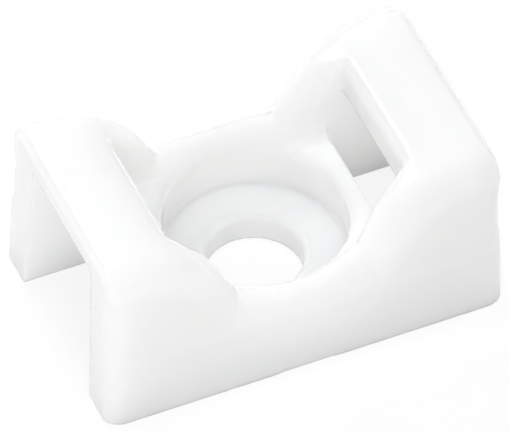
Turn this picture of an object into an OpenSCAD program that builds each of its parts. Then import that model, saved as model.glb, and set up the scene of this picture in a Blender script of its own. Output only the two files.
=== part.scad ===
// Cable tie mount: a one-piece moulded saddle with a recessed screw seat.
// Origin at the centre of the seating face; X along the tie, Z up. Millimetres.

/* [Body] */
// length over both ends, at the seating face
body_l = 15.7; // [10:0.1:30]
// width over the two side ribs
body_w = 9.5; // [6:0.1:20]
// height of the two end lobes
body_h = 7.3; // [5:0.1:15]
// height of the ribs in the middle, where the cables rest
saddle_h = 3.9; // [2:0.1:8]
// rounding along the long outer edges of the ribs
edge_r = 1.2; // [0.3:0.05:2]
// rounding of each end face along its top
end_edge_r = 0.55; // [0.1:0.05:1]
// rounding of the four upright corners
corner_r = 0.75; // [0.1:0.05:1.2]
// mould draft of the end faces, degrees
end_draft = 1.8; // [0:0.1:4]

/* [Lobes] */
// radius of the arched top of each lobe
lobe_r = 4.15; // [2:0.05:8]
// distance from the middle to each arch centre
lobe_x = 6.7; // [4:0.05:12]
// steepness of the ramp from the saddle up to the arch, degrees
ramp_angle = 60; // [45:1:75]
// thickness of the arched bridge over the tie passage
bridge_t = 1.12; // [0.6:0.02:2.5]
// distance from the middle to the inner face of each bridge
bridge_x = 4.58; // [3:0.02:8]
// rounding of the bridge's inner upper edge
bridge_edge_r = 0.35; // [0.1:0.05:0.8]

/* [Tie channel] */
// clear width between the ribs at the seating face
channel_w = 5.9; // [3:0.1:12]
// inward lean of the ribs' inner faces, degrees
channel_draft = 3; // [0:0.1:5]
// height of the channel floor
channel_h = 3.2; // [1.5:0.1:6]
// distance from the middle to the lip where the tie drops in
lip_x = 4.02; // [3:0.02:8]
// hollow rounding where the channel floor meets the ribs
cove_r = 0.6; // [0.1:0.05:1]
// rounding of the ribs' inner crest
crest_r = 0.75; // [0.2:0.05:1.2]

/* [Screw seat] */
// diameter of the recess for the screw head
head_d = 6.8; // [4:0.1:12]
// height of the face the screw head bears on
seat_h = 1.3; // [0.8:0.1:3]
// rounding of the recess rim where it cuts the ribs
rim_r = 1.2; // [0.2:0.05:1.5]
// diameter of the screw hole
hole_d = 3.6; // [2:0.1:6]
// rounding of the screw hole's upper edge
hole_edge_r = 0.3; // [0.05:0.05:0.6]

/* [Hidden] */
$fn = 96;
half_l = body_l / 2;
half_w = body_w / 2;
head_r = head_d / 2;
hole_r = hole_d / 2;
lobe_z = body_h - lobe_r;
under_r = lobe_r - bridge_t;
// where the straight ramp meets the arch, and its length, run on below the saddle
ramp_x = lobe_x - lobe_r * sin(ramp_angle);
ramp_z = lobe_z + lobe_r * cos(ramp_angle);
ramp_len = (ramp_z - saddle_h) / sin(ramp_angle) + 1.4;
// where the middle block ends, inside both ramps
saddle_x = lobe_x - lobe_r * cos(ramp_angle);
// half the channel width at height z
function wall_y(z) = channel_w / 2 - z * tan(channel_draft);
// the ribs' inner face, taken half way up the lobes
rib_in = wall_y((saddle_h + body_h) / 2);
big = 30;

// block across the width, both upper corners rounded, from z = low to z = top
module across_2d(low, top) {
    difference() {
        translate([-half_w, low]) square([body_w, top - low]);
        for (s = [0, 1]) mirror([s, 0]) corner_2d(half_w, top, edge_r);
    }
}

// what a rounding takes off an outer corner at (x, y)
module corner_2d(x, y, r) {
    difference() {
        translate([x - r, y - r]) square(r + 1);
        translate([x - r, y - r]) circle(r);
    }
}

// the middle, with the rounded rim of the recess scooped out of its top
module saddle() {
    difference() {
        rotate([90, 0, 90]) linear_extrude(2 * saddle_x, center = true) across_2d(-1, saddle_h);
        rotate_extrude() difference() {
            translate([0, saddle_h - rim_r]) square([head_r + rim_r, 2 * rim_r]);
            translate([head_r + rim_r, saddle_h - rim_r]) circle(rim_r);
        }
    }
}

// one end: a straight ramp, an arch turned about its centre, a flat top and the core below them
module lobe() {
    difference() {
        union() {
            on_ramp() across_2d(-lobe_r, 0);
            on_arch() across_2d(0, lobe_r);
            translate([lobe_x, 0, 0]) rotate([90, 0, 90])
                linear_extrude(half_l - lobe_x + 1) across_2d(-1, body_h);
            translate([saddle_x - 0.4, -half_w, -1]) cube([half_l, body_w, lobe_z + 1]);
        }
        intersection() {
            translate([bridge_x - big, -big / 2, 0]) cube(big);
            union() {
                on_ramp() crest_2d();
                on_arch() translate([0, lobe_r]) crest_2d();
            }
        }
    }
}

// runs an upright section down the ramp, its top on the ramp's face
module on_ramp() {
    translate([ramp_x, 0, ramp_z]) rotate([0, -ramp_angle, 0]) translate([-ramp_len, 0, 0])
        rotate([90, 0, 90]) linear_extrude(ramp_len) children();
}

// turns an upright section round the arch, from the ramp to the top
module on_arch() {
    translate([lobe_x, 0, lobe_z]) rotate([-90, 0, 0])
        rotate_extrude(angle = ramp_angle, start = 270 - ramp_angle) rotate(-90) children();
}

// groove that rounds the inner crest of both ribs
module crest_2d() {
    reach = rib_in + crest_r;
    difference() {
        translate([-reach, -crest_r]) square([2 * reach, 2]);
        for (s = [-1, 1]) translate([s * reach, -crest_r]) circle(crest_r);
    }
}

// clear way for the tie over the boss, with coves along the floor
module channel() {
    rotate([90, 0, 90]) linear_extrude(2 * bridge_x, center = true) difference() {
        polygon([
            [-wall_y(channel_h), channel_h], [wall_y(channel_h), channel_h],
            [wall_y(big), big], [-wall_y(big), big]
        ]);
        for (s = [0, 1]) mirror([s, 0]) translate([0, 2 * channel_h]) mirror([0, 1])
            corner_2d(wall_y(channel_h), channel_h, cove_r);
    }
}

// passage under one bridge, open below, at the lip and at the end
module passage() {
    intersection() {
        rotate([90, 0, 0]) linear_extrude(big, center = true) intersection() {
            translate([lip_x, -1]) square(big);
            union() {
                translate([0, -1]) square([big, lobe_z + 1]);
                translate([lobe_x, lobe_z]) circle(under_r);
                translate([lobe_x, -1]) square([big, lobe_z + under_r + 1]);
            }
        }
        rotate([90, 0, 90]) linear_extrude(big) polygon([
            [-wall_y(-1), -1], [wall_y(-1), -1], [wall_y(big), big], [-wall_y(big), big]
        ]);
    }
}

// recess for the screw head and the hole below it
module screw_way() {
    translate([0, 0, seat_h]) cylinder(h = big, r = head_r);
    translate([0, 0, -1]) cylinder(h = seat_h + 2, r = hole_r);
    rotate_extrude() difference() {
        translate([0, seat_h - hole_edge_r]) square([hole_r + hole_edge_r, 2 * hole_edge_r]);
        translate([hole_r + hole_edge_r, seat_h - hole_edge_r]) circle(hole_edge_r);
    }
}

// what a rounding takes off an edge: out from the centre, between two directions
module edge_2d(r, from, to) {
    mid = (from + to) / 2;
    difference() {
        polygon([
            [0, 0],
            3 * r * [cos(from), sin(from)],
            5 * r * [cos(mid), sin(mid)],
            3 * r * [cos(to), sin(to)]
        ]);
        circle(r);
    }
}

// rounding of one bridge's inner upper edge, between the ribs
module bridge_trim() {
    edge_x = bridge_x + bridge_edge_r;
    reach = lobe_r - bridge_edge_r;
    slope = acos((lobe_x - edge_x) / reach);
    translate([edge_x, 0, lobe_z + reach * sin(slope)]) rotate([90, 0, 0])
        linear_extrude(2 * wall_y(body_h), center = true) edge_2d(bridge_edge_r, 180 - slope, 180);
}

// leaning end face with rounded sides and top
module end_trim() {
    top_z = (body_h - end_edge_r * (1 - sin(end_draft))) / cos(end_draft);
    translate([half_l, 0, 0]) rotate([0, -end_draft, 0]) {
        translate([0, -big / 2, -big / 2]) cube(big);
        for (s = [0, 1]) mirror([0, s, 0]) translate([0, 0, -2]) linear_extrude(big)
            corner_2d(0, half_w, corner_r);
        translate([-end_edge_r, 0, top_z]) rotate([90, 0, 0])
            linear_extrude(big, center = true) edge_2d(end_edge_r, 0, 90 - end_draft);
    }
}

module mount_body() color([0.93, 0.93, 0.90]) {
    difference() {
        union() {
            saddle();
            for (s = [0, 1]) mirror([s, 0, 0]) lobe();
        }
        channel();
        screw_way();
        for (s = [0, 1]) mirror([s, 0, 0]) {
            passage();
            bridge_trim();
            end_trim();
        }
        translate([-big / 2, -big / 2, -big]) cube(big);
    }
}

mount_body();
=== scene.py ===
# %% [markdown]
# # A moulded cable tie mount
# The object is a small saddle of natural nylon. A screw holds it down through the
# hole in its middle, a flat tie runs under its two arched bridges, and the cables
# lie between them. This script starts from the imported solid, gives it the soft
# edges of a real moulding, and then a translucent nylon finish, a floor and light.

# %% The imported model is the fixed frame
import math

import bpy
import numpy as np
from mathutils import Matrix, Vector


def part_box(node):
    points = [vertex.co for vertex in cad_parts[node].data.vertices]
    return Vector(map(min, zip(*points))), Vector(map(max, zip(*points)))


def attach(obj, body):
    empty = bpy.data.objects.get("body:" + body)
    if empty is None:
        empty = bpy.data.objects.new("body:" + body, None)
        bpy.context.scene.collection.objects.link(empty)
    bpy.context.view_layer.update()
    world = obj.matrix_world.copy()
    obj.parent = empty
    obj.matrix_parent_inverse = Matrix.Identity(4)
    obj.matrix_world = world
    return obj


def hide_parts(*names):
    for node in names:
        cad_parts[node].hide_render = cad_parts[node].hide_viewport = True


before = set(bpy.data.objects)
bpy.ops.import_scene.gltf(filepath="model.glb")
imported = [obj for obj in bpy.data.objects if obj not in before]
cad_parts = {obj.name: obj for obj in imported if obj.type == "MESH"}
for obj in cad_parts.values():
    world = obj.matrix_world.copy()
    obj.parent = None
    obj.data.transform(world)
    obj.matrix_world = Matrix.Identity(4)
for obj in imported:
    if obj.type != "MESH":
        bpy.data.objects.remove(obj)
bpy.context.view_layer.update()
MM = 0.001
low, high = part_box("mount_body")
print("CAD box in mm:", [round(v / MM, 2) for v in (*low, *high)])

# %% [markdown]
# ## The moulded body as one distance formula
# A moulding has no knife edges: the tool rounds each edge, and where three edges
# meet they melt together. Bevels on a mesh of loose facets tear at such corners.
# Instead the body is written as a signed distance, negative in the plastic and
# positive in the air. Cutting one form with another is then a single line, and a
# rounding is part of that line, so every corner blends by itself.

# %% Sizes in millimetres, from the solid's box and the part's own proportions
(half_l, half_w, body_h) = (high.x / MM, high.y / MM, high.z / MM)
SADDLE_H = 3.9
LOBE_R = 4.15
LOBE_X = 6.7
RAMP = math.radians(60)
BRIDGE_T = 1.12
BRIDGE_X = 4.58
LIP_X = 4.02
CHANNEL_W = 5.9
CHANNEL_H = 3.2
HEAD_R = 3.4
SEAT_H = 1.3
HOLE_R = 1.8
END_LEAN = math.tan(math.radians(1.8))
SIDE_LEAN = math.tan(math.radians(0.8))
WALL_LEAN = math.tan(math.radians(3))
lobe_z = body_h - LOBE_R
print("half length, half width, height in mm:", half_l, half_w, body_h)

# %% Radii of the roundings in millimetres, from the outside in
EDGE_R = 1.2
FOOT_R = 0.12
END_R_LOW = 0.8
END_R_TOP = 0.52
CREST_R = 0.75
BRIDGE_EDGE_R = 0.38
DEEP_EDGE_R = 0.1
COVE_R = 0.6
CHANNEL_END_R = 0.15
PASSAGE_R = 0.15
LIP_R = 0.02
RIM_R_RIB = 1.2
RIM_R_LIP = 0.3
SEAT_R = 0.1
HOLE_EDGE_R = 0.3
BASE_R = 0.08
print("largest and smallest rounding in mm:", EDGE_R, LIP_R)


# %% Three small tools: soft step, rounded cut and soft join
def step(a, b, t):
    """0 before a, 1 beyond b, and an S-shaped change between them. With b below a it
    falls instead of rising."""
    s = np.clip((t - a) / (b - a), 0, 1)
    return s * s * (3 - 2 * s)


def both(a, b, r):
    """Inside a and inside b, their shared outer edge rounded to radius r: the larger
    distance deep inside, and r less than the length of (a + r, b + r) near the edge."""
    corner = np.hypot(np.maximum(a + r, 0), np.maximum(b + r, 0))
    return np.minimum(np.maximum(a, b), -r) + corner


def either(a, b, r):
    """Inside a or inside b, with a hollow rounding of radius r where they meet."""
    return -both(-a, -b, r)


print("distance from a 1 mm rounding at its sharp corner:", round(both(0, 0, 1), 3), "mm")

# %% [markdown]
# ## The outside
# Seen from the side, the mount is a low saddle between two lobes. Each lobe climbs
# from the saddle up a straight ramp, turns round an arch and ends in a short flat
# top. The long edges have a wide rounding all the way along, and the ends lean in a
# little, so that the part leaves its mould. The part is the same on both sides of
# its middle, so the formula only needs positive x and y.


# %% The outside: saddle, lobe, leaning end and side
def lobe_height(x, z, r):
    """Distance above a lobe of arch radius r: from the ramp's line below the arch,
    from the circle along it, and from the flat top beyond its centre."""
    (u, v) = (x - LOBE_X, z - lobe_z)
    ramp = -u * math.sin(RAMP) + v * math.cos(RAMP)
    along = u * math.cos(RAMP) + v * math.sin(RAMP)
    arch = np.where(u < 0, np.hypot(u, v), v)
    return np.where(along < 0, ramp, arch) - r


END_R_CHANGE = (5.0, 6.6)


def outside(x, y, z):
    """Both bars cut by the side with the long edge rounding, joined, then cut by the
    end. The end's rounding gets smaller over the heights in END_R_CHANGE."""
    side = y - (half_w - SIDE_LEAN * z)
    lobe = both(lobe_height(x, z, LOBE_R), side, EDGE_R)
    saddle = both(z - SADDLE_H, side, EDGE_R)
    end = x - (half_l - END_LEAN * z)
    end_r = END_R_LOW - (END_R_LOW - END_R_TOP) * step(*END_R_CHANGE, z)
    return both(either(lobe, saddle, FOOT_R), end, end_r)


print("depth of the saddle's middle:", round(float(-outside(0, 0, SADDLE_H / 2)), 2), "mm")

# %% [markdown]
# ## The hollows
# The tie lies in a channel between the ribs and passes under the bridges. The screw
# head sinks into a round recess with a flat seat, and its shank goes through the
# hole. Each hollow is a form of its own, and the body is what lies inside the outside
# and outside the hollows. The radius of the shared edge may change from place to
# place: wide on the rib crests, narrower on the bridges, and almost none deep down.


# %% The hollows: tie channel and passages
def hollow(x, y, z):
    """Channel between the ribs with coves along its floor, joined to the passage
    under the bridge."""
    wall = y - (CHANNEL_W / 2 - WALL_LEAN * z)
    trough = both(wall, CHANNEL_H - z, COVE_R)
    channel = both(trough, x - BRIDGE_X, CHANNEL_END_R)
    under = lobe_height(x, z, LOBE_R - BRIDGE_T)
    passage = both(both(LIP_X - x, under, LIP_R), wall, PASSAGE_R)
    return np.minimum(channel, passage)


print("width of the channel at the saddle's top:",
      round(CHANNEL_W - 2 * WALL_LEAN * SADDLE_H, 2), "mm")

# %% Where each edge rounding holds, as (from, to) in millimetres
TOP_DEPTH = (-1.1, -0.7)
BRIDGE_REACH = (5.6, 5.0)
CREST_Y = (2.0, 2.6)
CREST_X = (4.6, 4.0)
RIM_Z = (3.3, 3.9)
RIM_Y = (2.2, 2.9)
RIM_LIFT = 0.45


def crest_radius(x, y, z):
    """Radius of the hollows' upper edges: small deep down, wider near the top of the
    body, and widest there on the ribs."""
    top = np.minimum(lobe_height(x, z, LOBE_R), z - SADDLE_H)
    near_top = step(*TOP_DEPTH, np.minimum(top, 0)) * step(*BRIDGE_REACH, x)
    rib = step(*CREST_Y, y) * step(*CREST_X, x)
    wider = BRIDGE_EDGE_R - DEEP_EDGE_R + (CREST_R - BRIDGE_EDGE_R) * rib
    return DEEP_EDGE_R + near_top * wider


def rim_radius(y, z):
    """Radius of the recess rim: small at the channel's floor and wide on the ribs,
    where the rim counts as RIM_LIFT higher than it is."""
    height = z + RIM_LIFT * step(*RIM_Y, y)
    return RIM_R_LIP + (RIM_R_RIB - RIM_R_LIP) * step(*RIM_Z, height)


print("rim radius on a rib:", round(float(rim_radius(HEAD_R, SADDLE_H)), 2), "mm")


# %% The whole part
def mount(x, y, z):
    """Signed distance to the whole part, in mm: the outside, less the channel and
    passages, the screw recess and the hole, and cut off flat at the floor."""
    (x, y) = (np.abs(x), np.abs(y))
    reach = np.hypot(x, y)
    recess = both(reach - HEAD_R, SEAT_H - z, SEAT_R)
    body = both(outside(x, y, z), -hollow(x, y, z), crest_radius(x, y, z))
    body = both(body, -recess, rim_radius(y, z))
    body = both(body, HOLE_R - reach, HOLE_EDGE_R)
    return both(body, -z, BASE_R)


print("distance at the hole's middle:", round(float(mount(0, 0, SEAT_H / 2)), 2), "mm")

# %% [markdown]
# ## From the formula to a mesh
# The formula is sampled on a grid of points. Each grid cell that the surface passes
# through gets one vertex, at the mean of the points where its edges are crossed, and
# each crossed grid edge gets one four-sided face between the four cells around it.
# Then every vertex slides along the formula's slope onto the surface itself.
# The grid starts an odd share of a step outside the body. If grid points fell on the
# walls or the middle plane, neighbouring vertices would land on the same spot.

# %% Grid, vertices and faces
PITCH = 0.1
SIDE_MARGIN = 1.63
BASE_MARGIN = 1.5
FAR_MARGIN = 2


def grid_axes(half, top):
    """Grid positions along x, y and z, over a box of half sizes half in x and y that
    reaches from just below 0 to just above top in z."""
    spans = [(-h - SIDE_MARGIN * PITCH, h) for h in half]
    spans.append((-BASE_MARGIN * PITCH, top))
    return [np.arange(start, stop + FAR_MARGIN * PITCH, PITCH) for (start, stop) in spans]


def edge_crossings(grid, axis):
    """Grid edges along one axis whose two ends lie on different sides of the surface:
    their first ends, the points where they are crossed, and whether they lead out."""
    steps = grid.shape[axis]
    first = np.take(grid, range(steps - 1), axis)
    second = np.take(grid, range(1, steps), axis)
    crossed = (first < 0) != (second < 0)
    where = np.argwhere(crossed)
    (a, b) = (first[crossed], second[crossed])
    point = where.astype(float)
    point[:, axis] += a / (a - b)
    return where, point, a < 0


def cell_beside(where, axis, shift_p, shift_q):
    """The cell that has each edge as a side, shift_p and shift_q cells back across it."""
    (p, q) = ((axis + 1) % 3, (axis + 2) % 3)
    cell = where.copy()
    cell[:, p] -= shift_p
    cell[:, q] -= shift_q
    return cell


axes = grid_axes((half_l, half_w), body_h)
print("grid points along x, y and z:", [len(a) for a in axes])

# %% The surface where the formula is zero
RING = ((1, 1), (0, 1), (0, 0), (1, 0))


def zero_surface(formula, axes):
    """Vertices and four-sided faces where the formula is zero on the grid of axes.
    A vertex is the mean of its cell's crossing points, and a face joins the four
    cells round a crossed edge, in the order that turns it outwards."""
    grid = formula(*np.meshgrid(*axes, indexing="ij"))
    cells = np.array(grid.shape) - 1
    total = np.zeros((*cells, 3))
    count = np.zeros(cells)
    crossings = [edge_crossings(grid, axis) for axis in range(3)]
    for axis, (where, point, _) in enumerate(crossings):
        for shifts in RING:
            cell = tuple(cell_beside(where, axis, *shifts).T)
            np.add.at(total, cell, point)
            np.add.at(count, cell, 1)
    used = count > 0
    number = np.cumsum(used.ravel()).reshape(cells) - 1
    start = np.array([a[0] for a in axes])
    vertices = start + PITCH * total[used] / count[used][:, None]
    faces = []
    for axis, (where, _, outward) in enumerate(crossings):
        ring = [number[tuple(cell_beside(where, axis, *shifts).T)] for shifts in RING]
        ring = np.stack(ring, 1)
        ring[~outward] = ring[~outward][:, ::-1]
        faces.append(ring)
    return vertices, np.vstack(faces)


(points, quads) = zero_surface(mount, axes)
print("vertices and faces:", len(points), len(quads))

# %% Every vertex slides onto the surface itself
ROUNDS = 4
SHARE = 0.8
FLATTEST = 0.3
TINY = 1e-4


def slope_of(formula, points):
    """The formula's slope at each point, from its values TINY to either side."""
    return np.stack([
        formula(*(points + TINY * axis).T) - formula(*(points - TINY * axis).T)
        for axis in np.eye(3)
    ], 1) / (2 * TINY)


def onto_surface(formula, points):
    """Slides each point against the slope by its distance over the slope's square, a
    SHARE of it at a time, where a slope's square counts as FLATTEST at least."""
    for _ in range(ROUNDS):
        value = formula(*points.T)
        slope = slope_of(formula, points)
        square = np.maximum((slope ** 2).sum(1), FLATTEST)
        points = points - SHARE * (value / square)[:, None] * slope
    return points


points = onto_surface(mount, points)
points = np.clip(points, [-half_l, -half_w, 0], [half_l, half_w, body_h])
print("largest distance left:", round(float(np.abs(mount(*points.T)).max()), 4), "mm")


# %% Put the arrays into a mesh
def mesh_object(name, points, faces):
    """A smooth-shaded mesh object from points in metres and four-sided faces."""
    mesh = bpy.data.meshes.new(name)
    mesh.vertices.add(len(points))
    mesh.vertices.foreach_set("co", points.astype(np.float32).ravel())
    mesh.loops.add(faces.size)
    mesh.loops.foreach_set("vertex_index", faces.astype(np.int32).ravel())
    mesh.polygons.add(len(faces))
    mesh.polygons.foreach_set("loop_start", np.arange(0, faces.size, 4, dtype=np.int32))
    mesh.polygons.foreach_set("use_smooth", np.ones(len(faces), bool))
    mesh.update(calc_edges=True)
    mesh.validate()
    thing = bpy.data.objects.new(name, mesh)
    bpy.context.scene.collection.objects.link(thing)
    return thing


body = mesh_object("moulded_body", points * MM, quads)
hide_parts("mount_body")
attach(body, "root")
print("body's size in mm:", [round(v / MM, 2) for v in body.dimensions])

# %% [markdown]
# ## Natural nylon
# Unfilled nylon is a milky, slightly translucent plastic. Light enters it, scatters
# and comes out a few millimetres away, so thin ribs glow and edges look soft. The
# Principled shader's subsurface part does that. Close to the floor the light would
# seep out through the underside into a gap that no lamp reaches, and would leave a
# dark rim that a real mount on paper doesn't show, so the scatter fades out there.
# The colour is not quite even, and a very fine grain breaks up the gloss.


# %% A helper that adds a node
def add(tree, kind, **settings):
    """Adds a node of this kind to the tree and gives it its settings."""
    node = tree.nodes.new(kind)
    for key, value in settings.items():
        setattr(node, key, value)
    return node


# %% The nylon material
FADE_HEIGHT = 1.6 * MM
SCATTER_AT_BASE = 0.3


def nylon_material():
    """Milky colour with a faint cloudiness, satin gloss, a fine moulded grain, and
    scatter whose share rises from SCATTER_AT_BASE on the floor to 1 at FADE_HEIGHT."""
    material = bpy.data.materials.new("natural_nylon")
    material.use_nodes = True
    tree = material.node_tree
    shader = tree.nodes["Principled BSDF"]
    shader.inputs["Roughness"].default_value = 0.2
    shader.inputs["IOR"].default_value = 1.53
    shader.inputs["Subsurface Radius"].default_value = (1.0, 0.95, 0.88)
    shader.inputs["Subsurface Scale"].default_value = 2.6 * MM
    place = add(tree, "ShaderNodeTexCoord")
    parts = add(tree, "ShaderNodeSeparateXYZ")
    share = add(tree, "ShaderNodeMapRange", interpolation_type="SMOOTHSTEP")
    share.inputs["From Max"].default_value = FADE_HEIGHT
    share.inputs["To Min"].default_value = SCATTER_AT_BASE
    cloud = add(tree, "ShaderNodeTexNoise")
    cloud.inputs["Scale"].default_value = 260
    cloud.inputs["Detail"].default_value = 3
    tint = add(tree, "ShaderNodeMixRGB")
    tint.inputs["Color1"].default_value = (0.962, 0.965, 0.960, 1)
    tint.inputs["Color2"].default_value = (0.972, 0.975, 0.970, 1)
    grain = add(tree, "ShaderNodeTexNoise")
    grain.inputs["Scale"].default_value = 9000
    bump = add(tree, "ShaderNodeBump")
    bump.inputs["Strength"].default_value = 0.08
    bump.inputs["Distance"].default_value = 0.01 * MM
    link = tree.links.new
    link(place.outputs["Object"], cloud.inputs["Vector"])
    link(place.outputs["Object"], grain.inputs["Vector"])
    link(place.outputs["Object"], parts.inputs[0])
    link(parts.outputs["Z"], share.inputs["Value"])
    link(share.outputs[0], shader.inputs["Subsurface Weight"])
    link(cloud.outputs["Fac"], tint.inputs["Fac"])
    link(tint.outputs["Color"], shader.inputs["Base Color"])
    link(grain.outputs["Fac"], bump.inputs["Height"])
    link(bump.outputs["Normal"], shader.inputs["Normal"])
    return material


nylon = nylon_material()
body.data.materials.append(nylon)
print("material:", nylon.name, "with", len(nylon.node_tree.nodes), "nodes")

# %% [markdown]
# ## Floor
# The floor is one large pale plane. The light it sends back to the object is that of
# a pale floor. Seen by the camera, and in reflections, most of it is plain paper
# white, and the rest is the lit floor itself, so the object keeps a faint shadow.

# %% The floor
PAPER_SHARE = 0.8
FLOOR_SIZE = 4


def floor_material():
    """A diffuse pale floor for light, and for camera, glossy and transmission rays a
    mix of that floor with white of strength 1, in the share PAPER_SHARE."""
    material = bpy.data.materials.new("pale_floor")
    material.use_nodes = True
    tree = material.node_tree
    tree.nodes.clear()
    link = tree.links.new
    pale = add(tree, "ShaderNodeBsdfDiffuse")
    pale.inputs["Color"].default_value = (0.93, 0.93, 0.93, 1)
    white = add(tree, "ShaderNodeEmission")
    seen = add(tree, "ShaderNodeMixShader")
    seen.inputs["Fac"].default_value = PAPER_SHARE
    link(pale.outputs[0], seen.inputs[1])
    link(white.outputs[0], seen.inputs[2])
    path = add(tree, "ShaderNodeLightPath")
    sight = add(tree, "ShaderNodeMath", operation="ADD")
    sight_all = add(tree, "ShaderNodeMath", operation="ADD", use_clamp=True)
    link(path.outputs["Is Camera Ray"], sight.inputs[0])
    link(path.outputs["Is Glossy Ray"], sight.inputs[1])
    link(sight.outputs[0], sight_all.inputs[0])
    link(path.outputs["Is Transmission Ray"], sight_all.inputs[1])
    choice = add(tree, "ShaderNodeMixShader")
    link(sight_all.outputs[0], choice.inputs["Fac"])
    link(pale.outputs[0], choice.inputs[1])
    link(seen.outputs[0], choice.inputs[2])
    out = add(tree, "ShaderNodeOutputMaterial")
    link(choice.outputs[0], out.inputs["Surface"])
    return material


bpy.ops.mesh.primitive_plane_add(size=FLOOR_SIZE)
floor = bpy.context.object
floor.name = "floor"
floor.data.materials.append(floor_material())
print("floor:", FLOOR_SIZE, "m square")

# %% [markdown]
# ## Light
# The key lamp stands behind and to the left. It is small, so it leaves narrow bright
# lines on the bridge edges and the rib crests. The others are there to fill: from
# behind, the right, overhead and the viewer's side, and they leave no highlights. The
# last one stands close to the left end, so the long side gets darker to the right.


# %% Lamps
def lamp(name, direction, size, power, reach=0.4, gloss=True):
    """Square area lamp, reach metres away along direction, that faces the object's
    middle. Without gloss it lights the surface but leaves no highlight on it."""
    data = bpy.data.lights.new(name, "AREA")
    data.size = size
    data.energy = power
    thing = bpy.data.objects.new(name, data)
    bpy.context.scene.collection.objects.link(thing)
    spot = Vector(direction).normalized() * reach
    thing.location = spot
    thing.rotation_euler = spot.to_track_quat("Z", "Y").to_euler()
    thing.visible_glossy = gloss
    print("lamp:", name, power, "W")


lamp("key", (-0.547, 0.623, 0.566), size=0.07, power=0.17)
lamp("behind", (0, 1, 0.5), size=0.16, power=0.66, gloss=False)
lamp("right", (1, 0, 0.5), size=0.16, power=0.45, gloss=False)
lamp("overhead", (0, 0, 1), size=0.16, power=0.73, gloss=False)
lamp("near_viewer", (-0.28, -0.62, 0.73), size=0.16, power=0.41, gloss=False)
lamp("close_left", (-0.75, -0.6, 0.35), size=0.04, power=0.0112, reach=0.07, gloss=False)

# %% World
SKY_STRENGTH = 0.06
world = bpy.data.worlds.new("studio")
bpy.context.scene.world = world
world.use_nodes = True
sky = world.node_tree.nodes["Background"]
sky.inputs["Color"].default_value = (1, 1, 1, 1)
sky.inputs["Strength"].default_value = SKY_STRENGTH
print("world strength:", SKY_STRENGTH)

# %% [markdown]
# ## Camera
# A long lens from 350 mm away, turned 25 degrees from the front and 47 degrees up,
# keeps parallel edges almost parallel. Its length follows from how wide one
# millimetre of the object should be, in 509ths of the frame's width.

# %% Where the camera stands and how it is turned
FRAME_W = 509
SCALE = 27.74
OFF_RIGHT = 1.265
OFF_UP = 4.305
TURN = math.radians(-24.82)
RISE = math.radians(47.33)
ROLL = math.radians(-1.08)
DISTANCE = 350.7 * MM
SENSOR_W = 36
aim = Vector((0, 0, 3.4 * MM))
level = math.cos(RISE)
back = Vector((math.sin(TURN) * level, -math.cos(TURN) * level, math.sin(RISE)))
right = Vector((math.cos(TURN), math.sin(TURN), 0))
up = back.cross(right)
right_r = right * math.cos(ROLL) - up * math.sin(ROLL)
up_r = right * math.sin(ROLL) + up * math.cos(ROLL)
# the aim point lies OFF_RIGHT of and OFF_UP above the middle, in 509ths of the width
centre = aim - (right_r * OFF_RIGHT + up_r * OFF_UP) / SCALE * MM
turned = Matrix((right_r, up_r, back)).transposed().to_4x4()
print("camera looks at, in mm:", [round(v / MM, 3) for v in centre])

# %% The camera
data = bpy.data.cameras.new("camera")
data.sensor_width = SENSOR_W
data.lens = SENSOR_W * (DISTANCE / MM * SCALE) / FRAME_W
data.clip_start = 0.01
camera = bpy.data.objects.new("camera", data)
bpy.context.scene.collection.objects.link(camera)
camera.matrix_world = Matrix.Translation(centre + back * DISTANCE) @ turned
bpy.context.scene.camera = camera
bpy.context.scene.view_settings.view_transform = "Standard"
print("lens in mm:", round(data.lens, 1))
